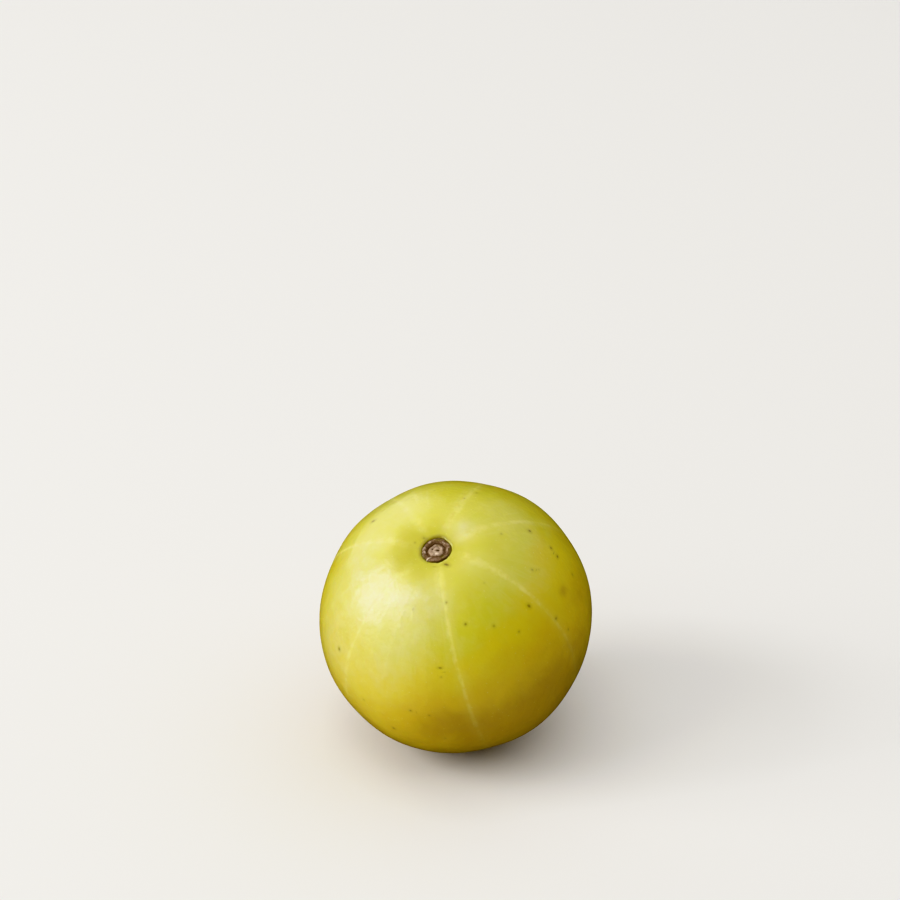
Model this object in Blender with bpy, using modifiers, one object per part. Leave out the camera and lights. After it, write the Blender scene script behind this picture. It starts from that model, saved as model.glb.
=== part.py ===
"""Indian gooseberry: one whole fruit as picked, with the woody scar where its stalk broke off.

Metres, +Z up. The origin is on the surface that the fruit lies on, straight below the fruit's centre.
The fruit is shaped round its own axis, which runs from its blossom end (local -Z) to its stalk end
(local +Z), and an empty then leans that axis towards -Y, the way the fruit lies.
"""

import math

import bmesh
import bpy
from mathutils import Vector

MM = 0.001

# The flesh: a slightly flattened globe
WIDTH = 38.0 * MM
HEIGHT = 36.6 * MM
LEAN = math.radians(27.0)
CENTRE_ABOVE_REST = 18.05 * MM  # about 0.4 mm short of the round form, which leaves the small flat spot

# The shallow dips at the two ends
STALK_DIP_DEPTH = 1.25 * MM
STALK_DIP_RADIUS = 3.5 * MM
BLOSSOM_DIP_DEPTH = 0.35 * MM
BLOSSOM_DIP_RADIUS = 2.6 * MM

# The seams between the lobes: longitude at mid-height, and the sideways drift from end to end, in degrees
SEAMS = ((-122.5, 15), (-62.4, 11), (-11.8, -21), (45, -2), (90.5, 14), (139.5, 6), (179, 3))
SEAM_TROUGH_DEPTH = 0.010  # share of the radius
SEAM_TROUGH_HALF_WIDTH = math.radians(13.0)

# Where the fruit is a little fuller or flatter: longitude, colatitude and reach in degrees, share of radius
SWELLINGS = ((-121, 100, 40, 0.018), (6, 99, 22, -0.015), (66, 75, 28, 0.006), (156, 94, 34, 0.004))

# The scar: a woody button sunk in the stalk dip, 30 of the fruit's 272 pixels across in the photograph
SCAR_RADIUS = 2.08 * MM
SCAR_SUNK = 0.65 * MM
SCAR_GAP = 0.1 * MM
SCAR_STEPS = 48
SCAR_WAVES = 5
SCAR_WAVE_HEIGHT = 0.035  # share of the radius

# Facets
SEGMENTS = 96
RINGS = 48
END_RING_CROWDING = 0.5  # 0 spaces the rings evenly, and near 1 crowds them into the two ends
CUTTER_SIZE = 60.0 * MM

SKIN_COLOUR = (0.57, 0.51, 0.06, 1.0)
SCAR_COLOUR = (0.16, 0.09, 0.045, 1.0)


def clear_scene():
    for obj in list(bpy.data.objects):
        bpy.data.objects.remove(obj, do_unlink=True)


def new_collection(name):
    collection = bpy.data.collections.new(name)
    bpy.context.scene.collection.children.link(collection)
    return collection


def new_material(name, colour, roughness):
    material = bpy.data.materials.new(name)
    material.use_nodes = True
    shader = material.node_tree.nodes["Principled BSDF"]
    shader.inputs["Base Color"].default_value = colour
    shader.inputs["Roughness"].default_value = roughness
    shader.inputs["Metallic"].default_value = 0.0
    return material


def new_object(name, mesh, collection, parent=None):
    obj = bpy.data.objects.new(name, mesh)
    obj.parent = parent
    collection.objects.link(obj)
    return obj


def wrapped(angle):
    """The angle brought to between -pi and pi."""
    return math.remainder(angle, math.tau)


def seam_trough(longitude, colatitude):
    """How deep in a seam's trough a point lies, from 0 on a lobe to 1 on the seam."""
    depth = 0.0
    for middle, drift in SEAMS:
        seam = math.radians(middle) + math.radians(drift) * (colatitude / math.pi - 0.5)
        away = wrapped(longitude - seam) / SEAM_TROUGH_HALF_WIDTH
        depth = max(depth, math.exp(-away * away))
    return depth


def swelling(longitude, colatitude):
    """What the fuller and flatter places add to the radius, as a share of it."""
    added = 0.0
    for middle_longitude, middle_colatitude, reach, share in SWELLINGS:
        across = wrapped(longitude - math.radians(middle_longitude)) * math.sin(colatitude)
        along = colatitude - math.radians(middle_colatitude)
        away = math.hypot(across, along) / math.radians(reach)
        added += share * math.exp(-away * away)
    return added


def skin_point(longitude, colatitude):
    """A point of the skin, round the fruit's own axis. Colatitude is 0 at the stalk end."""
    trough = SEAM_TROUGH_DEPTH * seam_trough(longitude, colatitude) * math.sin(colatitude)
    swell = 1.0 - trough + swelling(longitude, colatitude)
    off_axis = WIDTH / 2 * math.sin(colatitude) * swell
    along_axis = HEIGHT / 2 * math.cos(colatitude) * swell
    if colatitude < math.pi / 2:
        along_axis -= STALK_DIP_DEPTH * math.exp(-((off_axis / STALK_DIP_RADIUS) ** 2))
    else:
        along_axis += BLOSSOM_DIP_DEPTH * math.exp(-((off_axis / BLOSSOM_DIP_RADIUS) ** 2))
    return Vector((off_axis * math.cos(longitude), off_axis * math.sin(longitude), along_axis))


def dip_floor():
    """Height of the stalk dip's lowest point, on the fruit's own axis."""
    return skin_point(0.0, 0.0).z


def make_fruit(collection, parent):
    """A UV sphere whose points are moved on to the skin, with its rings crowded into both ends."""
    mesh = bpy.data.meshes.new("fruit_body")
    bm = bmesh.new()
    bmesh.ops.create_uvsphere(bm, u_segments=SEGMENTS, v_segments=RINGS, radius=1.0)
    for vert in bm.verts:
        even = math.acos(max(-1.0, min(1.0, vert.co.z)))
        colatitude = even - END_RING_CROWDING / 2 * math.sin(2 * even)
        vert.co = skin_point(math.atan2(vert.co.y, vert.co.x), colatitude)
    bm.to_mesh(mesh)
    bm.free()
    mesh.shade_smooth()
    mesh.materials.append(new_material("skin", SKIN_COLOUR, 0.42))
    return new_object("fruit_body", mesh, collection, parent)


def scar_profile():
    """The button's outline from the middle of its top, out and down to the middle of its foot."""
    outline_mm = (
        (0.00, 0.30),
        (0.45, 0.33),
        (0.80, 0.30),  # plug: the broken end of the stalk
        (0.98, 0.14),
        (1.12, 0.02),  # groove
        (1.26, 0.10),
        (1.42, 0.27),
        (1.70, 0.32),  # outer ring
        (1.92, 0.22),
        (2.08, -0.05),
    )
    foot = -SCAR_SUNK
    top = [(radius * MM, height * MM) for radius, height in outline_mm]
    return [*top, (SCAR_RADIUS, foot / 2), (SCAR_RADIUS * 0.93, foot), (0.0, foot)]


def make_turned_mesh(name, profile, steps):
    """The mesh that a profile in the XZ plane sweeps round Z."""
    line = bpy.data.meshes.new(name + "_profile")
    edges = [(i, i + 1) for i in range(len(profile) - 1)]
    line.from_pydata([(radius, 0.0, height) for radius, height in profile], edges, [])
    guide = new_object(name + "_profile", line, bpy.context.scene.collection)
    screw = guide.modifiers.new("turn", "SCREW")
    screw.steps = screw.render_steps = steps
    screw.use_merge_vertices = True
    screw.merge_threshold = 0.001 * MM
    graph = bpy.context.evaluated_depsgraph_get()
    mesh = bpy.data.meshes.new_from_object(guide.evaluated_get(graph))
    mesh.name = name
    bpy.data.objects.remove(guide, do_unlink=True)
    return mesh


def make_scar(collection, parent):
    """The turned button, with its rim drawn in and out so that it isn't a true circle."""
    mesh = make_turned_mesh("stem_scar", scar_profile(), SCAR_STEPS)
    for vert in mesh.vertices:
        around = math.atan2(vert.co.y, vert.co.x)
        wave = 0.5 * math.sin(SCAR_WAVES * around) + 0.5 * math.sin(2 * around + 1.0) - 1.0
        pull = 1.0 + SCAR_WAVE_HEIGHT * wave
        vert.co.x *= pull
        vert.co.y *= pull
    mesh.shade_smooth()
    mesh.materials.append(new_material("scar", SCAR_COLOUR, 0.85))
    scar = new_object("stem_scar", mesh, collection, parent)
    scar.location.z = dip_floor()
    return scar


def make_cutter(name, mesh, collection, parent=None):
    cutter = new_object(name, mesh, collection, parent)
    cutter.hide_render = True
    cutter.display_type = "WIRE"
    return cutter


def make_socket(collection, parent):
    """The hollow that the button sits in: a cylinder one gap larger all round, open upwards."""
    depth = SCAR_SUNK + SCAR_GAP
    tall = depth + STALK_DIP_DEPTH + 1.0 * MM
    mesh = bpy.data.meshes.new("scar_socket")
    bm = bmesh.new()
    radius = SCAR_RADIUS + SCAR_GAP
    bmesh.ops.create_cone(
        bm, cap_ends=True, segments=SCAR_STEPS, radius1=radius, radius2=radius, depth=tall
    )
    bm.to_mesh(mesh)
    bm.free()
    socket = make_cutter("scar_socket", mesh, collection, parent)
    socket.location.z = dip_floor() - depth + tall / 2
    return socket


def make_table(collection):
    """A block below the surface that the fruit lies on. What it cuts away is the flat spot."""
    mesh = bpy.data.meshes.new("table")
    bm = bmesh.new()
    bmesh.ops.create_cube(bm, size=CUTTER_SIZE)
    bm.to_mesh(mesh)
    bm.free()
    table = make_cutter("table", mesh, collection)
    table.location.z = -CUTTER_SIZE / 2
    return table


def cut(obj, cutter):
    difference = obj.modifiers.new("cut_" + cutter.name, "BOOLEAN")
    difference.operation = "DIFFERENCE"
    difference.solver = "EXACT"
    difference.object = cutter


def main():
    clear_scene()
    parts = new_collection("indian_gooseberry")
    cutters = new_collection("cutters")
    lean = new_object("lean", None, parts)
    lean.location.z = CENTRE_ABOVE_REST
    lean.rotation_euler.x = LEAN
    fruit = make_fruit(parts, lean)
    make_scar(parts, lean)
    cut(fruit, make_socket(cutters, lean))
    cut(fruit, make_table(cutters))


main()
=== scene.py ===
"""Looks of the indian gooseberry: fine skin and scar meshes, materials, the floor, light and camera.

The fruit's own axis runs from its blossom end (local -Z) to its stalk end (local +Z) through its centre.
Longitude turns about that axis from local +X, and colatitude is 0 at the stalk end. Lengths on the fruit
are millimetres in that local frame, and to_row() leans points into the row frame, in metres.
"""

import math
import random

import bpy
import numpy as np
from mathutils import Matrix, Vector, noise


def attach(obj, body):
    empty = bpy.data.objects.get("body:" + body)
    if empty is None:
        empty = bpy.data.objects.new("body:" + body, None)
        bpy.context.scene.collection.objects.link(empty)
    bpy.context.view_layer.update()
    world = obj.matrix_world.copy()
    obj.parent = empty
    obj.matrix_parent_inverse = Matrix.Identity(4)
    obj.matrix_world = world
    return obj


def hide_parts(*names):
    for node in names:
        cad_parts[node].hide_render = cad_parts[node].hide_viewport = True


MM = 0.001

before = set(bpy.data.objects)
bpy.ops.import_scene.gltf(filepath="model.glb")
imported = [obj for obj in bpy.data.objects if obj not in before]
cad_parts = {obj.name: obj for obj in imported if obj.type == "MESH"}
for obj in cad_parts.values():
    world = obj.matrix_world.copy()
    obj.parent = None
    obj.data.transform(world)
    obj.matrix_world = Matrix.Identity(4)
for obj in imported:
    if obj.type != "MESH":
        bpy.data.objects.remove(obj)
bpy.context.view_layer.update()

# The fruit's form, the same as the solids have
WIDTH = 38.0
HEIGHT = 36.6
RADIUS = WIDTH / 2
LEAN = math.radians(27.0)
CENTRE_ABOVE_REST = 18.05
STALK_DIP_DEPTH = 1.25
STALK_DIP_RADIUS = 3.5
BLOSSOM_DIP_DEPTH = 0.35
BLOSSOM_DIP_RADIUS = 2.6
SEAM_TROUGH_DEPTH = 0.010  # share of the radius
SEAM_TROUGH_HALF_WIDTH = math.radians(13.0)
SCAR_SUNK = 0.65
SCAR_GAP = 0.1

# Where it is a little fuller or flatter: longitude, colatitude and reach in degrees, share of the radius
SWELLINGS = ((-121, 100, 40, 0.018), (6, 99, 22, -0.015), (66, 75, 28, 0.006), (156, 94, 34, 0.004))

# Seams: longitude at mid-height and sideways drift from end to end in degrees, how clearly the line shows
SEAMS = (
    (-122.5, 15, 1.25),
    (-62.4, 11, 1.00),
    (-11.8, -21, 0.95),
    (45, -2, 0.80),
    (90.5, 14, 0.85),
    (139.5, 6, 0.90),
    (179, 3, 1.50),
)
SEAM_START = (6, 13)  # degrees from the stalk end over which the seams set in
SEAM_FADE = (35, 100)  # and over which they fade
SEAM_FADED = 0.8  # the share that they lose by then

# Fine relief of the skin. The lip is its edge round the scar.
CREASE_DEPTH = 0.024
CREASE_HALF_WIDTH = 0.24
UNEVEN_DEPTH = 0.05
UNEVEN_LENGTH = 5.0
BLOSSOM_NUB_HEIGHT = 0.18
BLOSSOM_NUB_RADIUS = 0.34
LIP_ROUNDING = 0.06
LIP_HEIGHT = 0.035
LIP_PLACE = 0.25  # how far out from the edge the lip stands highest
LIP_HALF_WIDTH = 0.20
LIP_SPREAD = 2.0  # how far out the skin still follows the scar's outline
LIP_SHADE_SIDE = math.radians(125.0)  # where the lip's painted shade is darkest, from the photograph's right; the other side gets a painted highlight

# Grid of the skin
COLUMNS_PER_LOBE = 46
COLUMN_CROWDING = 0.72  # 0 spaces the columns evenly, and near 1 crowds them at the seams
RING_SPACING = 0.34
LIP_RING_SPACING = 0.10
LIP_RING_REACH = 6.0  # how far from the lip the rings are closer together
POLE_RING_SPACING = 0.05
POLE_RING_GROWTH = 0.12  # wider by this for each millimetre from the blossom end
SOCKET_RINGS = ((0.5, 0.0), (0.97, 0.0), (1.0, 0.05), (1.0, 0.4), (1.0, 0.75))  # share out, share up
STREAK_HEIGHT_SHARE = 0.14  # how much of the way along the fruit counts where its streaks are drawn
FAR = 99.0  # further than any seam or speck is

# Specks on the side that the photograph shows: longitude, colatitude, width, length over width, turn from
# the seams' direction in degrees, darkness
SPECKS = (
    (159, 39, 0.50, 1.4, 20, 0.75),
    (-132, 63.5, 0.42, 1.2, 0, 0.75),
    (-112, 77, 0.36, 1.0, 0, 0.35),
    (-98, 87, 0.42, 1.2, 0, 0.65),
    (-89, 71.5, 0.32, 1.0, 0, 0.75),
    (-81, 73, 0.30, 1.0, 0, 0.50),
    (-76.5, 89, 0.36, 1.2, 0, 0.40),
    (-73.5, 50, 0.26, 1.9, 85, 0.75),
    (-73.5, 54, 0.26, 1.0, 0, 0.40),
    (-63, 24, 0.30, 1.0, 0, 0.50),
    (-53, 34.5, 0.34, 1.0, 0, 0.75),
    (-37, 40.5, 0.34, 1.2, 0, 0.50),
    (-27, 49, 0.34, 1.0, 0, 0.50),
    (-12.5, 45.5, 0.44, 1.2, 0, 0.85),
    (-7, 60, 0.42, 1.0, 0, 0.70),
    (-6, 69.5, 0.36, 1.0, 0, 0.50),
    (-21, 25, 0.28, 1.0, 0, 0.20),
    (9, 41, 0.34, 1.1, 0, 0.50),
    (11, 44, 0.28, 1.0, 0, 0.25),
    (28.5, 51.5, 0.42, 1.0, 0, 0.85),
    (24.5, 54.5, 0.36, 1.4, 70, 0.90),
    (19, 64, 0.50, 1.2, 0, 0.45),
    (38, 42.5, 0.44, 1.0, 0, 0.90),
    (47, 67, 0.36, 1.0, 0, 0.35),
    (35, 28, 0.30, 1.2, 60, 0.40),
    (83, 38.5, 0.36, 1.0, 0, 0.45),
    (87, 31, 0.32, 1.0, 0, 0.40),
    (112, 37, 0.32, 1.0, 0, 0.35),
    (-94, 27, 0.28, 1.8, 0, 0.30),
    (147, 7.8, 0.36, 1.2, 30, 0.50),
    (171, 9.6, 0.26, 1.0, 0, 0.35),
    (-42, 8.7, 0.40, 2.0, 32, 1.00),
    (-78, 8.2, 0.14, 4.0, 90, 0.35),
)
SPECK_OFFSET_LIMIT = 40  # in speck radii, past where a speck shows

# Specks drawn at random beyond the shown side
HIDDEN_SPECKS = 46
HIDDEN_SPECK_SEED = 7
HIDDEN_SPECK_TRIES = 5000
HIDDEN_SPECK_RANGES = (
    (-180.0, 180.0),  # longitude
    (-0.98, 0.95),  # cosine of the colatitude
    (0.26, 0.5),  # width
    (1.0, 1.4),  # length over width
    (-40.0, 40.0),  # turn
    (0.25, 0.85),  # darkness
)
SPECK_CLEARANCE = 1.7  # between the middles of two
SHOWN_MIDDLE = (-79.0, 30.5)  # longitude and colatitude
SHOWN_REACH = math.radians(84.0)  # from there, as seen from the fruit's centre

# Soft patches, paler, greener, more golden or browner than the skin round them: longitude, colatitude,
# radius, strength. The pale ones are painted sheen, a whitish highlight and reflection; the green ones are
# partly painted shade, and the golden ones partly painted warm shade.
SHEEN_PATCHES = (
    (180, 32, 4.2, 0.26),
    (-129, 31, 4.0, 0.52),
    (-106, 25, 2.2, 0.40),
    (-85, 19, 2.2, 0.25),
    (-146, 44, 5.5, 0.24),
    (-135, 66, 6.0, 0.26),
    (-112, 84, 6.0, 0.08),
    (137, 26, 3.5, 0.18),
    (57, 12.5, 1.7, 1.15),
    (-12, 14, 1.8, 0.22),
    (-160, 35, 2.6, 0.30),
    (-74, 24, 2.6, 0.30),
    (-90, 35, 3.4, 0.30),
    (-104, 47, 4.2, 0.28),
    (-101, 62, 4.5, 0.10),
)
# painted shade: the patches left of the scar darken the shaded side of the dip, and the last two the
# fruit's left edge; the others are greener skin
GREENS_AND_SHADE = (
    (-148, 15, 2.8, 0.90),
    (169, 14, 2.5, 0.82),
    (-100, 12, 2.0, 0.50),
    (22, 11, 1.6, 0.40),
    (118, 9, 1.6, 0.30),
    (-143, 57, 6.5, 0.42),
    (-167, 42, 5.0, 0.32),
)
# golden patches on the lower shown side, partly painted warm shade
GOLDS_AND_SHADE = (
    (-20, 58, 7.0, 0.80),
    (-76, 74, 7.0, 0.50),
    (20, 60, 7.0, 0.50),
    (-60, 96, 8.0, 0.40),
    (-28, 88, 8.0, 0.90),
    (-62, 74, 7.0, 0.45),
)
BLUSHES = (
    (7, 58.7, 0.75, 1.20),
    (-3, 78, 2.4, 0.50),
    (11, 67, 1.6, 0.50),
    (18, 74, 2.6, 0.35),
    (40, 62, 2.0, 0.25),
    (-150, 120, 3.0, 0.30),
    (100, 118, 3.5, 0.25),
)

# The scar, from the photograph: x is to its right and y away from the viewer, and angles turn from x to y
SCAR_TURN = math.radians(11.0)  # the longitude that its x points along
SCAR_EDGE_GAP = 0.01  # between the scar and the skin's lip, which follows the same outline
SCAR_MIDDLE = (-0.06, -0.02)  # of the plug
SCAR_FLAT_SIDE = 0.22  # how much nearer the plug's edge comes on the viewer's side
SCAR_PROFILE = (  # distance from the plug's middle, height above the dip's floor
    (0.00, 0.30),
    (0.42, 0.33),
    (0.86, 0.31),
    (1.00, 0.20),
    (1.14, 0.06),
    (1.28, 0.07),
    (1.44, 0.22),
    (1.60, 0.30),
)
SCAR_RIM = (  # share of the outline's radius, height
    (0.80, 0.32),
    (0.90, 0.26),
    (0.96, 0.17),
    (1.00, 0.04),
)
SCAR_OUTLINE = (  # angle, radius
    (-170, 2.06),
    (-145, 2.03),
    (-118, 1.93),
    (-92, 1.79),
    (-68, 1.84),
    (-50, 1.80),
    (-26, 1.88),
    (0, 2.00),
    (23, 2.06),
    (52, 1.97),
    (76, 2.13),
    (100, 2.07),
    (130, 2.10),
    (155, 2.06),
)
SCAR_OUTLINE_SHIFTS = (-8, -3, 3, 8)  # degrees, over which the outline is evened out
SCAR_COLUMNS = 240
SCAR_RING_COUNT = 96
SCAR_FOOT_SHARE = 0.95  # how wide the foot is for its edge

# Waves round the scar: height, how many, phase
SCAR_OUTLINE_WAVES = ((0.012, 9, 1.0), (0.008, 17, 0.0))
SCAR_GROOVE_WAVES = ((0.04, 3, 0.7), (0.03, 5, 2.0), (0.02, 9, 0.0))
SCAR_GROOVE_REACH = (0.3, 0.9)  # distance from the plug's middle over which the groove's waves set in

# Marks on the scar: a rise lifts the surface, a tone goes from -1, dark, to 1, pale, olive is a share. The
# tones are partly the scar's own colour and partly painted light and shade: raised bits and the knob are
# painted paler, the pit and dents darker.
SCAR_SPOTS = (  # x, y, half length, half width, turn, rise, tone, olive
    (0.17, 0.09, 0.27, 0.13, -6, -0.22, -1.10, 0.5),
    (0.10, -0.46, 0.28, 0.18, 14, 0.07, 1.00, 0.0),
    (-0.20, -0.14, 0.26, 0.18, 40, 0.03, 0.45, 0.0),
    (-0.85, 0.12, 0.16, 0.35, 0, 0.00, 0.20, 0.0),
    (0.62, 0.35, 0.14, 0.30, 10, 0.00, 0.40, 0.0),
    (-0.58, 0.22, 0.13, 0.13, 0, -0.09, -0.85, 0.3),
    (-1.10, 1.22, 0.16, 0.36, -42, 0.05, 0.55, 0.1),
    (-1.52, -0.28, 0.20, 0.32, 10, 0.05, 0.65, 0.0),
    (-1.62, 0.42, 0.16, 0.28, 0, 0.03, 0.45, 0.1),
    (-1.50, -0.80, 0.20, 0.15, -30, -0.03, -0.30, 0.4),
    (-0.96, -1.24, 0.60, 0.10, 49, 0.07, 0.95, 0.0),
    (-1.72, 0.92, 0.10, 0.26, -25, -0.05, -0.70, 0.4),
    (0.78, 1.26, 0.32, 0.14, -35, 0.04, 0.55, 0.2),
    (1.40, 0.22, 0.14, 0.44, 0, 0.04, 0.45, 0.1),
    (1.76, 0.20, 0.14, 0.55, 0, -0.03, -0.22, 1.0),
    (0.90, -0.80, 0.36, 0.28, 35, 0.02, 0.05, 1.0),
    (0.15, 0.80, 0.32, 0.10, -8, 0.00, -0.20, 0.9),
    (0.95, -1.26, 0.28, 0.16, 30, -0.05, -0.75, 0.8),
    (-0.02, -1.28, 0.44, 0.15, -3, 0.03, 0.35, 0.0),
    (0.05, 1.70, 0.55, 0.17, 0, 0.00, -0.05, 1.0),
)
# the dark arcs are painted shade in the plug's crescent and in the groove; the pale arc is painted light
# on a ridge
SCAR_ARCS = (  # distance from the plug's middle, half width, middle angle, reach, rise, tone
    (0.62, 0.11, 92, 60, -0.10, -0.55),
    (0.84, 0.08, 110, 80, 0.03, 0.25),
    (1.20, 0.13, 135, 72, 0.00, -1.00),
    (1.22, 0.13, 20, 50, 0.00, -0.75),
    (1.06, 0.10, -80, 50, 0.05, -0.50),
)
# painted shade on the rim's lower right, away from the light, and painted light on its left
SCAR_RIM_ARCS = (  # share of the outline's radius, half width, middle angle, reach, tone
    (0.93, 0.07, -62, 46, -0.95),
    (0.94, 0.07, -174, 32, 0.40),
)
# the cracks' dark tone is painted shade in them
SCAR_CRACKS = (  # angle, inner radius, outer radius, half width, rise, tone
    (-62, 1.30, 1.70, 0.030, -0.06, -0.30),
    (-20, 1.30, 1.75, 0.035, -0.08, -0.40),
    (28, 1.30, 1.85, 0.035, -0.08, -0.40),
    (60, 1.30, 1.80, 0.035, -0.08, -0.40),
    (122, 1.40, 1.95, 0.040, -0.10, -0.60),
    (142, 1.40, 1.95, 0.045, -0.12, -0.70),
    (160, 1.35, 1.98, 0.050, -0.13, -0.80),
    (-179, 1.40, 1.98, 0.045, -0.12, -0.75),
    (-163, 1.35, 1.98, 0.050, -0.12, -0.80),
    (-146, 1.30, 1.92, 0.040, -0.10, -0.60),
)
CRACK_BEND = 0.05
CRACK_BENDS = 5.0  # radians of a bend's wave for each millimetre out
CRACK_INNER_FADE = 0.08
CRACK_OUTER_FADE = 0.06
SCAR_GRAINS = (  # height, shift in the noise, length, octaves
    (0.035, 3.0, 0.40, 4),
    (0.020, 9.0, 0.13, 3),
)
SCAR_GRAIN_EDGE = (1.0, 0.9)  # shares of the outline's radius over which the grain sets in

# The photograph's frame in pixels, the fruit in it, and the camera, with its distance in metres
PHOTO_SIZE = 900
FRUIT_CENTRE_PIXEL = (456.7, 615.6)
CAMERA_AZIMUTH = math.radians(19.9)
SIGHT_ELEVATION = math.radians(34.5)
CAMERA_DISTANCE = 0.296
SENSOR = 36.0
LENS = 85.0

# Lights: name, degrees round to the right and up from the line to the camera, distance and size in
# metres, power in watts, whether the fruit's gloss mirrors it
LIGHTS = (
    ("window", -73, 18, 0.8, (0.30, 0.50), 3.3, True),
    ("window_side", -50, 15, 0.8, (0.20, 0.46), 1.0, True),
    ("fill", -36, 13, 0.9, (1.50, 1.50), 6.6, False),
    ("above", 48, 62, 0.9, (1.70, 1.70), 5.2, True),
    ("above_soft", 44, 60, 0.9, (1.70, 1.70), 5.0, False),
    ("left_back", -130, 48, 0.8, (0.60, 0.60), 1.1, True),
)
LIGHT_TINT = (1.0, 0.99, 0.97)
WORLD_STRENGTH = 0.01
FLOOR_HALF_SIZE = 1.6  # metres
FLOOR_ROUGHNESS = 0.9


def colour(red, green, blue):
    return (red, green, blue, 1.0)


WORLD_TINT = colour(1.0, 0.94, 0.84)
FLOOR_PALE = colour(0.88, 0.87, 0.85)

SKIN_GREEN = colour(0.635, 0.598, 0.042)
SKIN_PALE = colour(0.740, 0.710, 0.200)
# whitish colour of the painted sheen
SHEEN_WHITE = colour(0.730, 0.710, 0.360)
SKIN_YELLOW = colour(0.690, 0.565, 0.014)
SKIN_GOLD = colour(0.640, 0.450, 0.002)
# bronze of the blossom end, partly painted shade of the fruit's lower side
BRONZE_AND_SHADE = colour(0.440, 0.265, 0.001)
# greener, darker colour of the stalk's dip, partly painted shade of the dip
STALK_GREEN_AND_SHADE = colour(0.540, 0.490, 0.016)
# olive painted shade on the lip's side away from the light
LIP_SHADE_OLIVE = colour(0.260, 0.190, 0.012)
SEAM_PALE = colour(0.850, 0.800, 0.220)
SPECK_BROWN = colour(0.195, 0.138, 0.001)
BLUSH_BROWN = colour(0.380, 0.190, 0.008)
# painted shade for the socket's wall under the scar
SOCKET_SHADE = colour(0.060, 0.040, 0.004)

SCAR_PLUG = colour(0.530, 0.380, 0.260)
SCAR_RING = colour(0.270, 0.165, 0.095)
SCAR_OLIVE = colour(0.175, 0.135, 0.022)
SCAR_DARK = colour(0.040, 0.018, 0.004)
SCAR_LIGHT = colour(0.840, 0.680, 0.510)

# Noises: features in a millimetre, detail, roughness, distortion
CLOUD_NOISE = (0.16, 3.0, 0.55, 0.4)
MOTTLE_NOISE = (0.55, 4.0, 0.6)
STREAK_NOISE = (0.6, 2.0, 0.5)
SEAM_WANDER_NOISE = (0.9, 3.0)
SEAM_BREAK_NOISE = (0.7, 3.0, 0.6)
SHEEN_NOISE = (0.7, 2.0, 0.5)
RAGGED_NOISE = (5.0, 2.0)
WAVE_NOISE = (0.42, 1.0, 0.5)
PEEL_NOISE = (0.7, 3.0, 0.45)
PORE_NOISE = (1.9, 2.0, 0.5)
GRAIN_NOISE = (3.2, 4.0, 0.65)
FINE_NOISE = (11.0, 3.0, 0.6)

# Ramps, here and below: where they start and end, then what they give there, 0 and 1 if not said.
# Ripeness is degrees from the stalk end, swayed by clouds and raised in the golden patches. Its gold and
# bronze are partly ripening colour and partly painted shade of the fruit's lower side.
RIPE_SWAY = 38.0
RIPE_BY_GOLD = 30.0
YELLOW_BY_RIPE = (38.0, 68.0)
GOLD_BY_RIPE = (66.0, 92.0)
BRONZE_AND_SHADE_BY_RIPE = (88.0, 120.0)
PALE_BY_MOTTLE = (0.42, 0.72, 0.0, 0.20)
PALE_BY_STREAK = (0.50, 0.74, 0.0, 0.20)
PALE_BY_RIPE = (45.0, 82.0, 1.0, 0.12)
PALE_BY_ANGLE = (10.0, 34.0)
# the stalk's greener ring, partly painted shade of the dip
STALK_RING_SWAY = 8.0
STALK_RING_BY_ANGLE = (21.0, 11.0, 0.0, 0.85)
# painted highlight on the lip's lit side, and painted shade on the side away from the light
LIP_HIGHLIGHT_BY_ANGLE = (7.8, 6.6)
LIP_HIGHLIGHT_BY_SIDE = (0.30, 0.02, 0.0, 0.20)
LIP_SHADE_BY_ANGLE = (7.9, 6.2)
LIP_SHADE_BY_MOTTLE = (0.3, 0.6, 0.4, 0.9)

SEAM_WANDER = 0.30
SEAM_CLEAR_BY_GREEN = (0.45, 0.85, 1.0, 0.25)
SEAM_WIDTH_BY_ANGLE = (12.0, 40.0, 2.1, 1.0)
SEAM_BROKEN_BY_NOISE = (0.35, 0.62, 0.22, 0.54)
SEAM_LINE_BY_DISTANCE = (0.62, 0.04)
SEAM_GLOW_BY_DISTANCE = (1.6, 0.1, 0.0, 0.14)
# how the painted sheen breaks up and thins near the stalk
SHEEN_BY_NOISE = (0.34, 0.66, 0.75, 1.10)
SHEEN_BY_ANGLE = (9.0, 22.0, 0.35, 1.0)

SPECK_RAGGEDNESS = 0.8
SPECK_CORE_BY_OFFSET = (2.1, 0.6)
SPECK_HALO_BY_OFFSET = (3.6, 1.2, 0.0, 0.28)
SPECK_BY_DISTANCE = (0.95, 0.70)
DOTS_PER_MM = 1.1
DOT_BY_DISTANCE = (0.14, 0.05, 0.0, 0.35)
NUB_RAGGEDNESS = 2.2
NUB_BY_ANGLE = (178.6, 179.8, 0.0, 0.95)
# where the socket's painted shade sets in
SOCKET_SHADE_BY_ANGLE = (5.9, 4.0)

# Gloss of the skin and depths of its bumps, in metres
ROUGHNESS_BY_MOTTLE = (0.3, 0.7, 0.42, 0.56)
WAVES_BY_ANGLE = (12.0, 42.0, 0.10, 1.0)
WAVE_BUMP = 0.00006
PEEL_BUMP = 0.00008
PORE_BUMP = 0.000022
SPECK_BUMP = 0.00004
SPECK_BUMP_STRENGTH = 0.25

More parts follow.
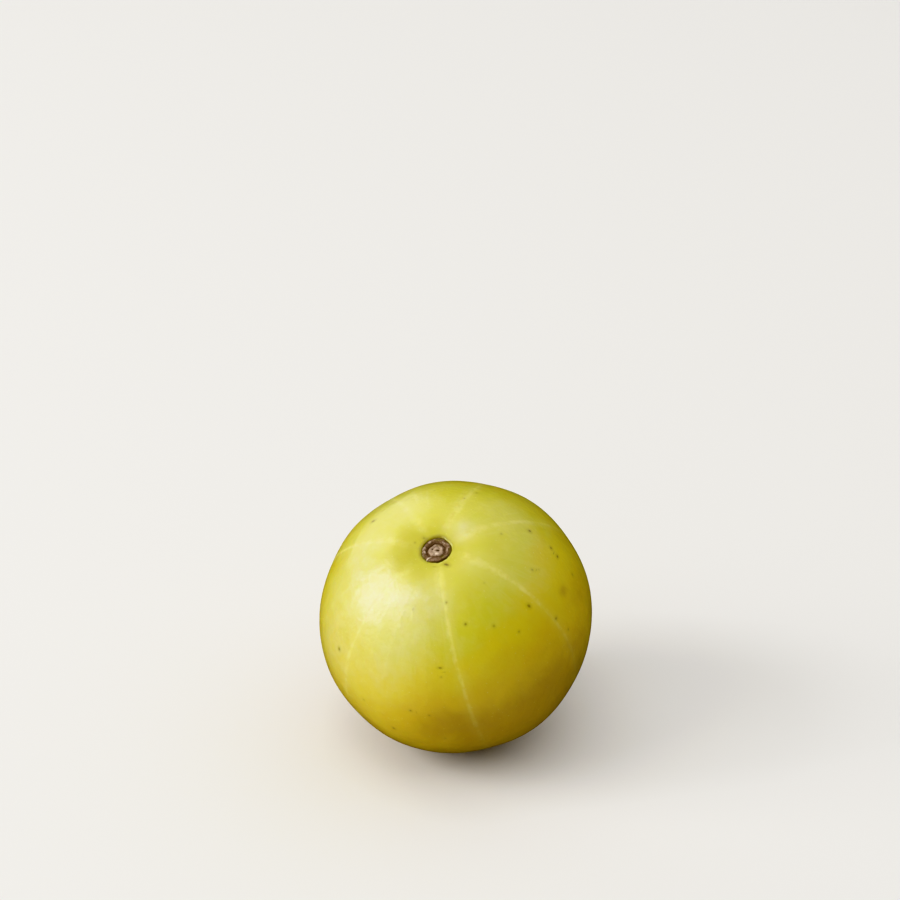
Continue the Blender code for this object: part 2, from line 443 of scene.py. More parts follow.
# The scar's colours
PLUG_BY_DISTANCE = (1.06, 0.90)
OLIVE_BY_SHARE = (0.84, 0.98, 0.0, 0.85)
OLIVE_STRENGTH = 0.9
DARK_BY_GRAIN = (0.34, 0.60, 0.50, 0.0)
LIGHT_BY_GRAIN = (0.52, 0.72, 0.0, 0.30)
DARK_BY_FINE = (0.40, 0.70, 0.20, 0.0)
DARK_BY_TONE = (-0.08, -0.95, 0.0, 0.94)
LIGHT_BY_TONE = (0.08, 0.95, 0.0, 0.90)
SCAR_BUMP = 0.00006
SCAR_BUMP_STRENGTH = 0.5


def wrapped(angle):
    """Angles brought to between -pi and pi."""
    return (angle + math.pi) % math.tau - math.pi


def smooth_step(low, high, value):
    share = np.clip((value - low) / (high - low), 0.0, 1.0)
    return share * share * (3.0 - 2.0 * share)


def noise_at(points, length, octaves=3):
    """Fractal noise between about -1 and 1 at local points, with features about that long."""
    flat = points.reshape(-1, 3) / length
    values = [noise.fractal(Vector(p), 1.0, 2.0, octaves) for p in flat]
    return np.array(values).reshape(points.shape[:-1])


def direction(longitude, colatitude):
    """Unit vector from the fruit's centre."""
    return Vector((
        math.sin(colatitude) * math.cos(longitude),
        math.sin(colatitude) * math.sin(longitude),
        math.cos(colatitude),
    ))


def outward(points):
    """Unit vectors away from the fruit's centre."""
    return points / np.linalg.norm(points, axis=-1, keepdims=True)


def to_row(points):
    """Local millimetres to metres in the row frame, none below the surface that the fruit lies on."""
    cos, sin = math.cos(LEAN), math.sin(LEAN)
    x, y, z = points[..., 0], points[..., 1], points[..., 2]
    height = np.maximum(y * sin + z * cos + CENTRE_ABOVE_REST, 0.0)
    return np.stack([x, y * cos - z * sin, height], axis=-1) * MM


def seam_longitude(middle, drift, colatitude):
    return np.radians(middle) + np.radians(drift) * (colatitude / math.pi - 0.5)


def skin_swell(longitude, colatitude):
    """Share of the radius that lobes, troughs and swellings leave."""
    trough = np.zeros_like(longitude)
    for middle, drift, _ in SEAMS:
        away = wrapped(longitude - seam_longitude(middle, drift, colatitude)) / SEAM_TROUGH_HALF_WIDTH
        trough = np.maximum(trough, np.exp(-(away**2)))
    swell = 1.0 - SEAM_TROUGH_DEPTH * trough * np.sin(colatitude)
    for middle_longitude, middle_colatitude, reach, share in SWELLINGS:
        across = wrapped(longitude - math.radians(middle_longitude)) * np.sin(colatitude)
        along = colatitude - math.radians(middle_colatitude)
        away = np.hypot(across, along) / math.radians(reach)
        swell += share * np.exp(-(away**2))
    return swell


def skin_points(longitude, colatitude):
    """Points of the plain skin, as the solid has them."""
    swell = skin_swell(longitude, colatitude)
    off_axis = RADIUS * np.sin(colatitude) * swell
    along_axis = HEIGHT / 2 * np.cos(colatitude) * swell
    stalk_dip = STALK_DIP_DEPTH * np.exp(-((off_axis / STALK_DIP_RADIUS) ** 2))
    blossom_dip = BLOSSOM_DIP_DEPTH * np.exp(-((off_axis / BLOSSOM_DIP_RADIUS) ** 2))
    along_axis -= np.where(colatitude < math.pi / 2, stalk_dip, -blossom_dip)
    return np.stack([off_axis * np.cos(longitude), off_axis * np.sin(longitude), along_axis], axis=-1)


def dip_floor():
    """Height of the stalk dip's lowest point, on the fruit's own axis."""
    return float(skin_points(np.zeros(1), np.zeros(1))[0, 2])


def skin_columns():
    """Longitude at mid-height and drift of each column of the grid, crowded towards the seams."""
    ordered = sorted(SEAMS)
    middles, drifts = [], []
    for index, (middle, drift, _) in enumerate(ordered):
        next_middle, next_drift, _ = ordered[(index + 1) % len(ordered)]
        gap = (next_middle - middle) % 360
        share = np.arange(COLUMNS_PER_LOBE) / COLUMNS_PER_LOBE
        share = share - COLUMN_CROWDING * np.sin(math.tau * share) / math.tau
        middles.append(middle + gap * share)
        drifts.append(drift + (next_drift - drift) * share)
    return np.concatenate(middles), np.concatenate(drifts)


def lip_radius():
    """Mean radius of the skin's lip round the scar."""
    return sum(radius for _, radius in SCAR_OUTLINE) / len(SCAR_OUTLINE)


def skin_rings():
    """Colatitudes of the rings, close together at the lip and at the blossom end and wider between."""
    colatitude = math.asin(lip_radius() / RADIUS)
    rings = []
    while colatitude < math.pi - 0.5 * RING_SPACING / RADIUS:
        rings.append(colatitude)
        from_lip = (colatitude - rings[0]) * RADIUS
        widening = min(1.0, from_lip / LIP_RING_REACH)
        spacing = LIP_RING_SPACING + (RING_SPACING - LIP_RING_SPACING) * widening
        to_pole = (math.pi - colatitude) * RADIUS
        spacing = min(spacing, POLE_RING_SPACING + POLE_RING_GROWTH * to_pole)
        colatitude += spacing / RADIUS
    return np.array(rings)


def seam_distances(longitude, colatitude):
    """Distance from the nearest seam, and how clearly that seam shows."""
    nearest = np.full(longitude.shape, FAR)
    clearness = np.zeros(longitude.shape)
    for middle, drift, strength in SEAMS:
        away = np.abs(wrapped(longitude - seam_longitude(middle, drift, colatitude)))
        away = away * np.sin(colatitude) * RADIUS
        closer = away < nearest
        nearest = np.where(closer, away, nearest)
        clearness = np.where(closer, strength, clearness)
    return nearest, clearness


def seam_fading(colatitude):
    """The seams start beyond the scar, show best on the upper flank and fade towards the blossom end."""
    angle = np.degrees(colatitude)
    return smooth_step(*SEAM_START, angle) * (1.0 - SEAM_FADED * smooth_step(*SEAM_FADE, angle))


def all_specks():
    """The listed specks on the shown side, and more by a seeded draw beyond it."""
    specks = list(SPECKS)
    places = [direction(math.radians(speck[0]), math.radians(speck[1])) for speck in specks]
    shown_middle = direction(*map(math.radians, SHOWN_MIDDLE))
    draw = random.Random(HIDDEN_SPECK_SEED)
    for _ in range(HIDDEN_SPECK_TRIES):
        longitude, height, *look = [draw.uniform(*limits) for limits in HIDDEN_SPECK_RANGES]
        colatitude = math.degrees(math.acos(height))
        place = direction(math.radians(longitude), math.radians(colatitude))
        if place.angle(shown_middle) < SHOWN_REACH:
            continue
        if min(place.angle(other) for other in places) * RADIUS > SPECK_CLEARANCE:
            specks.append((longitude, colatitude, *look))
            places.append(place)
        if len(specks) == len(SPECKS) + HIDDEN_SPECKS:
            break
    return specks


def skin_offset(longitude, colatitude, middle_longitude, middle_colatitude):
    """How far east and south of a place, given in degrees, each point lies along the skin."""
    east = wrapped(longitude - math.radians(middle_longitude)) * np.sin(colatitude) * RADIUS
    south = (colatitude - math.radians(middle_colatitude)) * RADIUS
    return east, south


def speck_attributes(longitude, colatitude):
    """For each point: its offset from the nearest speck in speck radii, the distance, the darkness."""
    offsets = np.zeros((*longitude.shape, 3))
    nearest = np.full(longitude.shape, FAR)
    darknesses = np.zeros(longitude.shape)
    for speck_longitude, speck_colatitude, width, stretch, turn, darkness in all_specks():
        east, south = skin_offset(longitude, colatitude, speck_longitude, speck_colatitude)
        away = np.hypot(east, south)
        closer = away < nearest
        nearest = np.where(closer, away, nearest)
        darknesses = np.where(closer, darkness, darknesses)
        cos, sin = math.cos(math.radians(turn)), math.sin(math.radians(turn))
        across, along = east * cos - south * sin, east * sin + south * cos
        scaled = np.stack([across * 2 / width, along * 2 / width / stretch, np.zeros_like(east)], axis=-1)
        scaled = np.clip(scaled, -SPECK_OFFSET_LIMIT, SPECK_OFFSET_LIMIT)
        offsets = np.where(closer[..., None], scaled, offsets)
    return offsets, nearest, darknesses


def patch_amount(longitude, colatitude, patches):
    """How much of the soft patches a point gets."""
    amount = np.zeros_like(longitude)
    for middle_longitude, middle_colatitude, radius, strength in patches:
        east, south = skin_offset(longitude, colatitude, middle_longitude, middle_colatitude)
        amount += strength * np.exp(-(east**2 + south**2) / radius**2)
    return amount


def closed_grid_faces(rings, columns):
    """Quads of a closed grid whose first and last points are its two poles."""
    faces = []
    for column in range(columns):
        beside = (column + 1) % columns
        faces.append((0, 1 + column, 1 + beside))
        for ring in range(rings - 1):
            upper, lower = 1 + ring * columns, 1 + (ring + 1) * columns
            faces.append((upper + column, lower + column, lower + beside, upper + beside))
        last = 1 + (rings - 1) * columns
        faces.append((last + column, last + columns, last + beside))
    return faces


def grid_object(name, first_pole, grid, last_pole, attributes):
    """A closed smooth mesh from a grid of points and two poles. Attributes hold a value for each point."""
    rings, columns = grid.shape[:2]
    points = np.concatenate([first_pole[None], grid.reshape(-1, 3), last_pole[None]])
    mesh = bpy.data.meshes.new(name)
    mesh.from_pydata(to_row(points).tolist(), [], closed_grid_faces(rings, columns))
    for attribute_name, values in attributes.items():
        kind, field, width = ("FLOAT_VECTOR", "vector", 3) if values.ndim == 3 else ("FLOAT", "value", 1)
        flat = values.reshape(rings * columns, width)
        flat = np.concatenate([flat[:1], flat, flat[-1:]])
        attribute = mesh.attributes.new(attribute_name, kind, "POINT")
        attribute.data.foreach_set(field, flat.astype(np.float32).ravel())
    mesh.shade_smooth()
    mesh.update()
    obj = bpy.data.objects.new(name, mesh)
    bpy.context.scene.collection.objects.link(obj)
    return obj


def rippled(start, angle, waves):
    """A value with waves round the scar added to it."""
    return sum((height * np.sin(count * angle + phase) for height, count, phase in waves), start)


def scar_outline(around):
    """The scar's radius at each angle."""
    angles, radii = zip(*SCAR_OUTLINE)
    degrees = np.degrees(around)
    shifted = [np.interp(degrees + shift, angles, radii, period=360) for shift in SCAR_OUTLINE_SHIFTS]
    return rippled(sum(shifted) / len(shifted), around, SCAR_OUTLINE_WAVES)


def fine_skin_points(longitude, colatitude, from_lip, crease):
    """The plain skin's points with the fine relief, drawn to the scar's outline near the lip."""
    points = skin_points(longitude, colatitude)
    sunk = CREASE_DEPTH * crease
    sunk += UNEVEN_DEPTH * (0.5 + 0.5 * noise_at(points, UNEVEN_LENGTH))
    sunk += LIP_ROUNDING * np.exp(-((from_lip / LIP_ROUNDING) ** 2))
    sunk -= LIP_HEIGHT * np.exp(-(((from_lip - LIP_PLACE) / LIP_HALF_WIDTH) ** 2))
    from_pole = (math.pi - colatitude) * RADIUS
    sunk -= BLOSSOM_NUB_HEIGHT * np.exp(-((from_pole / BLOSSOM_NUB_RADIUS) ** 4))
    points = points - outward(points) * sunk[..., None]
    off_round = scar_outline(longitude - SCAR_TURN) / lip_radius() - 1.0
    drawn = 1.0 + off_round * np.exp(-((from_lip / LIP_SPREAD) ** 2))
    return points * np.stack([drawn, drawn, np.ones_like(drawn)], axis=-1)


def socket_points(lip, floor_height):
    """Rings from the socket's floor up its wall to just below the lip."""
    socket = []
    for share_out, share_up in SOCKET_RINGS:
        ring = lip * np.array([share_out, share_out, 1.0])
        ring[:, 2] = floor_height + (lip[:, 2] - floor_height) * share_up
        socket.append(ring)
    return np.array(socket)


def with_socket(values, filler=None):
    """Values for the skin's rings, led by the socket's rings, which get the lip's values or a filler."""
    led = np.repeat(values[:1], len(SOCKET_RINGS), axis=0)
    if filler is not None:
        led[:] = filler
    return np.concatenate([led, values])


def make_skin():
    """The fine skin, from the socket's floor out over the lip and round to the blossom end."""
    middles, drifts = skin_columns()
    rings = skin_rings()
    colatitude = np.repeat(rings[:, None], len(middles), axis=1)
    longitude = seam_longitude(middles[None], drifts[None], colatitude)
    from_lip = (colatitude - rings[0]) * RADIUS
    seam_distance, seam_clearness = seam_distances(longitude, colatitude)
    fading = seam_fading(colatitude)
    crease = seam_clearness * fading * np.exp(-((seam_distance / CREASE_HALF_WIDTH) ** 2))
    points = fine_skin_points(longitude, colatitude, from_lip, crease)
    floor_height = dip_floor() - SCAR_SUNK - SCAR_GAP
    grid = np.concatenate([socket_points(points[0], floor_height), points])

    offsets, speck_distance, darkness = speck_attributes(longitude, colatitude)
    streak_height = colatitude * RADIUS * STREAK_HEIGHT_SHARE
    streak = np.stack([np.cos(longitude) * RADIUS, np.sin(longitude) * RADIUS, streak_height], axis=-1)
    attributes = {
        "own_mm": grid,
        "streak_mm": with_socket(streak),
        "stalk_angle": with_socket(np.degrees(colatitude), 0.0),
        "seam_distance": with_socket(seam_distance),
        "seam_clearness": with_socket(seam_clearness * fading),
        "speck_offset": with_socket(offsets),
        "speck_distance": with_socket(speck_distance),
        "speck_darkness": with_socket(darkness),
        # which side of the lip gets painted shade; the other side gets a painted highlight
        "lip_shade_side": with_socket(0.5 + 0.5 * np.cos(longitude - SCAR_TURN - LIP_SHADE_SIDE)),
    }
    for name, patches in (("blush", BLUSHES), ("bloom", SHEEN_PATCHES), ("green", GREENS_AND_SHADE), ("gold", GOLDS_AND_SHADE)):
        attributes[name] = with_socket(patch_amount(longitude, colatitude, patches))
    first_pole = np.array([0.0, 0.0, floor_height])
    last_pole = points[-1].mean(axis=0)
    return grid_object("skin_fine", first_pole, grid, last_pole, attributes)


def scar_spot(x, y, spot):
    """The share of a long soft spot at each point."""
    middle_x, middle_y, half_length, half_width, turn = spot
    cos, sin = math.cos(math.radians(turn)), math.sin(math.radians(turn))
    east, north = x - middle_x, y - middle_y
    along, across = east * cos + north * sin, north * cos - east * sin
    return np.exp(-((along / half_length) ** 2) - (across / half_width) ** 2)


def scar_arc(place, middle, half_width, angle, middle_angle, reach):
    """The share of a soft arc at each point."""
    along = wrapped(angle - math.radians(middle_angle)) / math.radians(reach)
    return np.exp(-(((place - middle) / half_width) ** 2) - along**4)


def scar_crack(out, around, angle, inner, outer, half_width):
    """The share of a crack at each point. Its own angle sets how it bends."""
    bend = CRACK_BEND * np.sin(out * CRACK_BENDS + angle)
    away = wrapped(around - math.radians(angle) - bend) * out / half_width
    starts = smooth_step(inner - CRACK_INNER_FADE, inner, out)
    ends = smooth_step(outer + CRACK_OUTER_FADE, outer, out)
    return starts * ends * np.exp(-(away**2))


def scar_shape(out, around, share):
    """The top's height above the dip's floor, tone with painted light and shade, olive share and distance
    from the plug's middle.
    """
    x, y = out * np.cos(around), out * np.sin(around)
    east, north = x - SCAR_MIDDLE[0], y - SCAR_MIDDLE[1]
    turn = np.arctan2(north, east)
    distance = np.hypot(east, north) + SCAR_FLAT_SIDE * np.maximum(-np.sin(turn), 0.0) ** 2
    wander = rippled(0.0, turn, SCAR_GROOVE_WAVES)
    distance = distance + wander * smooth_step(*SCAR_GROOVE_REACH, distance)
    height = np.minimum(np.interp(distance, *zip(*SCAR_PROFILE)), np.interp(share, *zip(*SCAR_RIM)))
    tone_light_and_shade, olive = np.zeros_like(height), np.zeros_like(height)
    for *spot, rise, shade, green in SCAR_SPOTS:
        part = scar_spot(x, y, spot)
        height, tone_light_and_shade, olive = height + rise * part, tone_light_and_shade + shade * part, np.maximum(olive, green * part)
    for middle, half_width, middle_angle, reach, rise, shade in SCAR_ARCS:
        part = scar_arc(distance, middle, half_width, turn, middle_angle, reach)
        height, tone_light_and_shade = height + rise * part, tone_light_and_shade + shade * part
    for middle, half_width, middle_angle, reach, shade in SCAR_RIM_ARCS:
        tone_light_and_shade = tone_light_and_shade + shade * scar_arc(share, middle, half_width, around, middle_angle, reach)
    for *crack, rise, shade in SCAR_CRACKS:
        part = scar_crack(out, around, *crack)
        height, tone_light_and_shade = height + rise * part, tone_light_and_shade + shade * part
    return height, tone_light_and_shade, olive, distance


def with_foot(values):
    """Values for the rings of the scar's top, with the edge's values repeated for its foot."""
    return np.concatenate([values, values[-1:]])


def make_scar():
    """The dry woody button: plug with its pit and crescent, groove, cracked ring and uneven rim."""
    ring_share = np.linspace(0.0, 1.0, SCAR_RING_COUNT + 1)[1:]
    share = np.repeat(ring_share[:, None], SCAR_COLUMNS, axis=1)
    around = np.repeat((np.arange(SCAR_COLUMNS) * math.tau / SCAR_COLUMNS)[None], SCAR_RING_COUNT, axis=0)
    out = share * (scar_outline(around) - SCAR_EDGE_GAP)
    height, tone_light_and_shade, olive, distance = scar_shape(out, around, share)
    longitude = around + SCAR_TURN
    top = np.stack([out * np.cos(longitude), out * np.sin(longitude), np.zeros_like(out)], axis=-1)
    grain = sum(depth * noise_at(top + shift, *fineness) for depth, shift, *fineness in SCAR_GRAINS)
    floor = dip_floor()
    top[..., 2] = height + grain * smooth_step(*SCAR_GRAIN_EDGE, share) + floor
    last_pole = np.array([0.0, 0.0, floor - SCAR_SUNK])
    foot = top[-1:] * np.array([SCAR_FOOT_SHARE, SCAR_FOOT_SHARE, 0.0]) + last_pole
    grid = np.concatenate([top, foot])
    attributes = {
        "own_mm": grid,
        "scar_middle": with_foot(distance),
        "scar_share": with_foot(share),
        "scar_tone_light_and_shade": with_foot(tone_light_and_shade),
        "scar_olive": with_foot(olive),
    }
    return grid_object("scar_fine", top[0].mean(axis=0), grid, last_pole, attributes)


class Shader:
    """A material's node tree, with short calls for the nodes that the looks need."""

    def __init__(self, name):
        self.material = bpy.data.materials.new(name)
        self.material.use_nodes = True
        self.tree = self.material.node_tree
        self.principled = self.tree.nodes["Principled BSDF"]

    def node(self, kind, inputs, **settings):
        made = self.tree.nodes.new(kind)
        for name, value in settings.items():
            setattr(made, name, value)
        for key, value in inputs.items():
            self.feed(made.inputs[key], value)
        return made

    def feed(self, socket, value):
        if isinstance(value, bpy.types.NodeSocket):
            self.tree.links.new(value, socket)
        else:
            socket.default_value = value

    def attribute(self, name, output="Fac"):
        return self.node("ShaderNodeAttribute", {}, attribute_name=name).outputs[output]

    def math(self, operation, first, second=0.0):
        return self.node("ShaderNodeMath", {0: first, 1: second}, operation=operation).outputs[0]

    def plus(self, first, second):
        return self.math("ADD", first, second)

    def times(self, first, second):
        return self.math("MULTIPLY", first, second)

    def larger(self, first, second):
        return self.math("MAXIMUM", first, second)

    def swayed(self, value, swaying, reach):
        """The value with a noise round one half added, reach wide from its lowest to its highest."""
        return self.plus(value, self.times(self.math("SUBTRACT", swaying, 0.5), reach))

    def ramp(self, value, low, high, low_value=0.0, high_value=1.0):
        """A smooth step from low_value at low to high_value at high."""
        limits = {"From Min": low, "From Max": high, "To Min": low_value, "To Max": high_value}
        inputs = {"Value": value, **limits}
        return self.node("ShaderNodeMapRange", inputs, interpolation_type="SMOOTHSTEP").outputs["Result"]

    def noise(self, place, scale, detail, roughness=0.5, distortion=0.0):
        inputs = {"Vector": place, "Scale": scale, "Detail": detail, "Roughness": roughness}
        return self.node("ShaderNodeTexNoise", {**inputs, "Distortion": distortion}).outputs["Fac"]

    def cells(self, place, scale):
        """Distance from the nearest of scattered points."""
        return self.node("ShaderNodeTexVoronoi", {"Vector": place, "Scale": scale}).outputs["Distance"]

    def mix(self, share, first, second):
        """Colours mixed, by the sockets of a mix node that carry colours."""
        return self.node("ShaderNodeMix", {0: share, 6: first, 7: second}, data_type="RGBA").outputs[2]

    def bump(self, height, distance, strength=1.0, normal=None):
        inputs = {"Height": height, "Strength": strength, "Distance": distance}
        if normal is not None:
            inputs["Normal"] = normal
        return self.node("ShaderNodeBump", inputs).outputs["Normal"]

    def finish(self, **inputs):
        for name, value in inputs.items():
            self.feed(self.principled.inputs[name.replace("_", " ").title().replace("Ior", "IOR")], value)
        return self.material


def skin_ground(shader, own, streaks, angle, mottle):
    """Yellow-green near the stalk that turns golden, then bronze, to the blossom end, in soft clouds:
    partly ripening colour and partly painted shade that darkens the lower side.
    """
    ripe = shader.swayed(angle, shader.noise(own, *CLOUD_NOISE), RIPE_SWAY)
    ripe = shader.plus(ripe, shader.times(shader.attribute("gold"), RIPE_BY_GOLD))
    base = shader.mix(shader.ramp(ripe, *YELLOW_BY_RIPE), SKIN_GREEN, SKIN_YELLOW)
    # gold and bronze towards the blossom end, partly painted shade of the lower side
    base = shader.mix(shader.ramp(ripe, *GOLD_BY_RIPE), base, SKIN_GOLD)
    base = shader.mix(shader.ramp(ripe, *BRONZE_AND_SHADE_BY_RIPE), base, BRONZE_AND_SHADE)
    streak = shader.noise(streaks, *STREAK_NOISE)
    pale = shader.larger(shader.ramp(mottle, *PALE_BY_MOTTLE), shader.ramp(streak, *PALE_BY_STREAK))
    spread = shader.times(shader.ramp(ripe, *PALE_BY_RIPE), shader.ramp(angle, *PALE_BY_ANGLE))
    return shader.mix(shader.times(pale, spread), base, SKIN_PALE)


def stalk_end(shader, base, angle, mottle):
    """The greener ring round the stalk's dip, partly painted shade, and the lip, with painted olive shade
    on its side away from the light and a painted pale highlight on the other.
    """
    # the greener ring and patches: partly skin colour, partly painted shade in the dip and at the left
    # edge
    ring = shader.plus(angle, shader.times(mottle, STALK_RING_SWAY))
    green = shader.larger(shader.ramp(ring, *STALK_RING_BY_ANGLE), shader.attribute("green"))
    base = shader.mix(green, base, STALK_GREEN_AND_SHADE)
    side = shader.attribute("lip_shade_side")
    # painted pale highlight on the lip's lit side
    pale = shader.times(shader.ramp(angle, *LIP_HIGHLIGHT_BY_ANGLE), shader.ramp(side, *LIP_HIGHLIGHT_BY_SIDE))
    base = shader.mix(pale, base, SEAM_PALE)
    # painted olive shade on the lip's side away from the light
    lip_shade = shader.times(shader.ramp(angle, *LIP_SHADE_BY_ANGLE), side)
    lip_shade = shader.times(lip_shade, shader.ramp(mottle, *LIP_SHADE_BY_MOTTLE))
    return shader.mix(lip_shade, base, LIP_SHADE_OLIVE)


def seam_share(shader, own, angle):
    """How pale the seams make a point: soft broken lines, wider near the stalk, in a faint glow."""
    in_green = shader.ramp(shader.attribute("green"), *SEAM_CLEAR_BY_GREEN)
    clearness = shader.times(shader.attribute("seam_clearness"), in_green)
    wander = shader.noise(own, *SEAM_WANDER_NOISE)
    near = shader.math("ABSOLUTE", shader.swayed(shader.attribute("seam_distance"), wander, SEAM_WANDER))
    near = shader.math("DIVIDE", near, shader.ramp(angle, *SEAM_WIDTH_BY_ANGLE))
    broken = shader.ramp(shader.noise(own, *SEAM_BREAK_NOISE), *SEAM_BROKEN_BY_NOISE)
    line = shader.times(shader.ramp(near, *SEAM_LINE_BY_DISTANCE), broken)
    glow = shader.ramp(near, *SEAM_GLOW_BY_DISTANCE)
    return shader.times(shader.larger(line, glow), clearness)


def sheen_share(shader, own, angle):
    """How much painted sheen, a soft whitish highlight, pales a point: uneven, and thinner near the stalk.
    """
    patchy = shader.ramp(shader.noise(own, *SHEEN_NOISE), *SHEEN_BY_NOISE)
    bloom = shader.times(shader.attribute("bloom"), patchy)
    return shader.times(bloom, shader.ramp(angle, *SHEEN_BY_ANGLE))


def speck_share(shader, ragged):
    """How brown the specks make a point: a core with a ragged edge in a softer ring."""
    offset = shader.attribute("speck_offset", "Vector")
    away = shader.node("ShaderNodeVectorMath", {0: offset}, operation="LENGTH").outputs["Value"]
    away = shader.plus(away, shader.times(ragged, SPECK_RAGGEDNESS))
    core = shader.ramp(away, *SPECK_CORE_BY_OFFSET)
    halo = shader.ramp(away, *SPECK_HALO_BY_OFFSET)
    near_speck = shader.ramp(shader.attribute("speck_distance"), *SPECK_BY_DISTANCE)
    speck = shader.times(shader.larger(core, halo), near_speck)
    return shader.times(speck, shader.attribute("speck_darkness"))


def skin_normal(shader, own, streaks, angle, speck):
    """Slow waves along the fruit, a fine peel, pores, and the specks' slight rise."""
    waves = shader.times(shader.noise(streaks, *WAVE_NOISE), shader.ramp(angle, *WAVES_BY_ANGLE))
    normal = shader.bump(waves, WAVE_BUMP)
    normal = shader.bump(shader.noise(own, *PEEL_NOISE), PEEL_BUMP, normal=normal)
    normal = shader.bump(shader.noise(own, *PORE_NOISE), PORE_BUMP, normal=normal)
    return shader.bump(speck, SPECK_BUMP, SPECK_BUMP_STRENGTH, normal)


def skin_material():
    shader = Shader("skin")
    own = shader.attribute("own_mm", "Vector")
    streaks = shader.attribute("streak_mm", "Vector")
    angle = shader.attribute("stalk_angle")
    mottle = shader.noise(own, *MOTTLE_NOISE)
    ragged = shader.noise(own, *RAGGED_NOISE)

    base = skin_ground(shader, own, streaks, angle, mottle)
    base = stalk_end(shader, base, angle, mottle)
    base = shader.mix(seam_share(shader, own, angle), base, SEAM_PALE)
    # painted sheen: whitish highlight and reflection patches paled into the colour
    base = shader.mix(sheen_share(shader, own, angle), base, SHEEN_WHITE)
    base = shader.mix(shader.times(shader.attribute("blush"), mottle), base, BLUSH_BROWN)
    base = shader.mix(shader.ramp(shader.cells(own, DOTS_PER_MM), *DOT_BY_DISTANCE), base, SKIN_PALE)
    speck = speck_share(shader, ragged)
    base = shader.mix(speck, base, SPECK_BROWN)
    nub_angle = shader.plus(angle, shader.times(ragged, NUB_RAGGEDNESS))
    base = shader.mix(shader.ramp(nub_angle, *NUB_BY_ANGLE), base, SPECK_BROWN)
    # painted shade on the socket's wall under the scar
    base = shader.mix(shader.ramp(angle, *SOCKET_SHADE_BY_ANGLE), base, SOCKET_SHADE)

    normal = skin_normal(shader, own, streaks, angle, speck)
    return shader.finish(
        base_color=base,
        roughness=shader.ramp(mottle, *ROUGHNESS_BY_MOTTLE),
        normal=normal,
        subsurface_weight=0.35,
        subsurface_radius=(1.0, 0.65, 0.12),
        subsurface_scale=0.0022,
        specular_ior_level=0.65,
        coat_weight=0.95,
        coat_roughness=0.24,
        coat_normal=normal,
    )


def scar_material():
    shader = Shader("scar")
    own = shader.attribute("own_mm", "Vector")
    tone_light_and_shade = shader.attribute("scar_tone_light_and_shade")
    grain = shader.noise(own, *GRAIN_NOISE)
    fine = shader.noise(own, *FINE_NOISE)
    plug = shader.ramp(shader.attribute("scar_middle"), *PLUG_BY_DISTANCE)
    base = shader.mix(plug, SCAR_RING, SCAR_PLUG)
    edge = shader.ramp(shader.attribute("scar_share"), *OLIVE_BY_SHARE)
    olive = shader.larger(shader.attribute("scar_olive"), edge)
    base = shader.mix(shader.times(olive, OLIVE_STRENGTH), base, SCAR_OLIVE)
    base = shader.mix(shader.ramp(grain, *DARK_BY_GRAIN), base, SCAR_DARK)
    base = shader.mix(shader.ramp(grain, *LIGHT_BY_GRAIN), base, SCAR_LIGHT)
    base = shader.mix(shader.ramp(fine, *DARK_BY_FINE), base, SCAR_DARK)
    # the tones' painted shade and painted light: darker in the pit, dents, cracks and groove, paler on
    # raised bits and the knob
    base = shader.mix(shader.ramp(tone_light_and_shade, *DARK_BY_TONE), base, SCAR_DARK)
    base = shader.mix(shader.ramp(tone_light_and_shade, *LIGHT_BY_TONE), base, SCAR_LIGHT)
    normal = shader.bump(fine, SCAR_BUMP, SCAR_BUMP_STRENGTH)
    return shader.finish(base_color=base, roughness=0.80, normal=normal, specular_ior_level=0.3)


def make_floor():
    size = FLOOR_HALF_SIZE
    corners = [(-size, -size, 0), (size, -size, 0), (size, size, 0), (-size, size, 0)]
    mesh = bpy.data.meshes.new("floor")
    mesh.from_pydata(corners, [], [(0, 1, 2, 3)])
    floor = bpy.data.objects.new("floor", mesh)
    bpy.context.scene.collection.objects.link(floor)
    mesh.materials.append(Shader("floor").finish(base_color=FLOOR_PALE, roughness=FLOOR_ROUGHNESS))
    floor.visible_glossy = False


def fruit_centre():
    """The fruit's centre in the row frame, in metres."""
    return Vector((0.0, 0.0, CENTRE_ABOVE_REST * MM))


def sight_axes():
    """Unit vectors right, up and back as the photograph's camera sees the fruit."""
    back = Vector((
        math.sin(CAMERA_AZIMUTH) * math.cos(SIGHT_ELEVATION),
        -math.cos(CAMERA_AZIMUTH) * math.cos(SIGHT_ELEVATION),
        math.sin(SIGHT_ELEVATION),
    ))
    right = Vector((math.cos(CAMERA_AZIMUTH), math.sin(CAMERA_AZIMUTH), 0.0))
    return right, back.cross(right), back


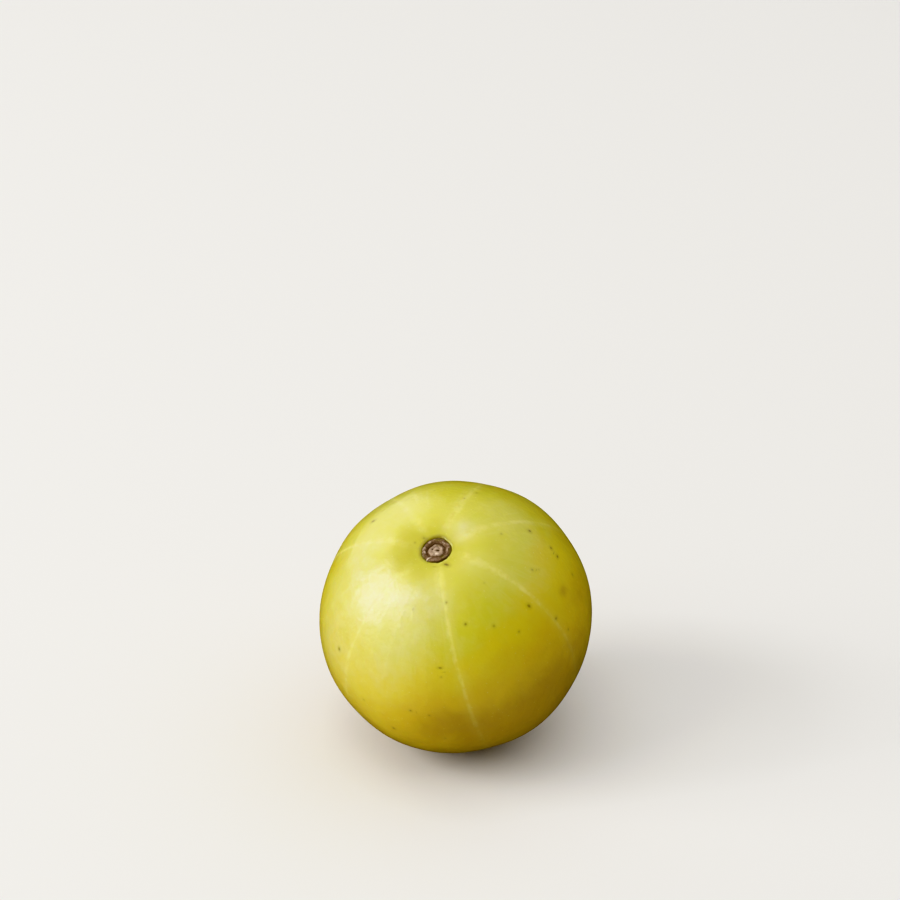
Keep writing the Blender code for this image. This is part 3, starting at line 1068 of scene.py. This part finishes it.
def make_camera():
    """A level camera at the photograph's angle, turned so that the fruit falls on its pixel there."""
    _, _, back = sight_axes()
    data = bpy.data.cameras.new("camera")
    data.lens, data.sensor_width = LENS, SENSOR
    camera = bpy.data.objects.new("camera", data)
    bpy.context.scene.collection.objects.link(camera)
    camera.location = fruit_centre() + back * CAMERA_DISTANCE
    pixels_per_unit = PHOTO_SIZE * LENS / SENSOR
    right_of_middle = (FRUIT_CENTRE_PIXEL[0] - PHOTO_SIZE / 2) / pixels_per_unit
    below_middle = math.atan((FRUIT_CENTRE_PIXEL[1] - PHOTO_SIZE / 2) / pixels_per_unit)
    pitch = SIGHT_ELEVATION - below_middle
    turn = math.asin(right_of_middle * math.cos(below_middle) / math.cos(SIGHT_ELEVATION))
    camera.rotation_euler = (math.pi / 2 - pitch, 0.0, CAMERA_AZIMUTH + turn)
    bpy.context.scene.camera = camera


def make_area_light(name, towards, distance, size, power, mirrored):
    """A soft rectangle that faces the fruit from a direction, mirrored in its gloss or not."""
    data = bpy.data.lights.new(name, "AREA")
    data.shape = "RECTANGLE"
    data.size, data.size_y = size
    data.energy = power
    data.color = LIGHT_TINT
    light = bpy.data.objects.new(name, data)
    bpy.context.scene.collection.objects.link(light)
    light.visible_glossy = mirrored
    towards = towards.normalized()
    light.location = towards * distance + fruit_centre()
    light.rotation_mode = "QUATERNION"
    light.rotation_quaternion = towards.to_track_quat("Z", "Y")


def make_light():
    """The area lights, placed as seen from the camera, and a faint light from all round."""
    right, up, back = sight_axes()
    for name, azimuth, elevation, distance, size, power, mirrored in LIGHTS:
        turn, rise = math.radians(azimuth), math.radians(elevation)
        level = math.sin(turn) * right + math.cos(turn) * back
        towards = level * math.cos(rise) + up * math.sin(rise)
        make_area_light(name, towards, distance, size, power, mirrored)
    world = bpy.data.worlds.new("world")
    world.use_nodes = True
    background = world.node_tree.nodes["Background"]
    background.inputs["Color"].default_value = WORLD_TINT
    background.inputs["Strength"].default_value = WORLD_STRENGTH
    bpy.context.scene.world = world
    bpy.context.scene.view_settings.view_transform = "Khronos PBR Neutral"


def main():
    skin = make_skin()
    skin.data.materials.append(skin_material())
    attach(skin, "root")
    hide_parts("fruit_body")
    scar = make_scar()
    scar.data.materials.append(scar_material())
    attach(scar, "root")
    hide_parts("stem_scar")
    make_floor()
    make_camera()
    make_light()


main()
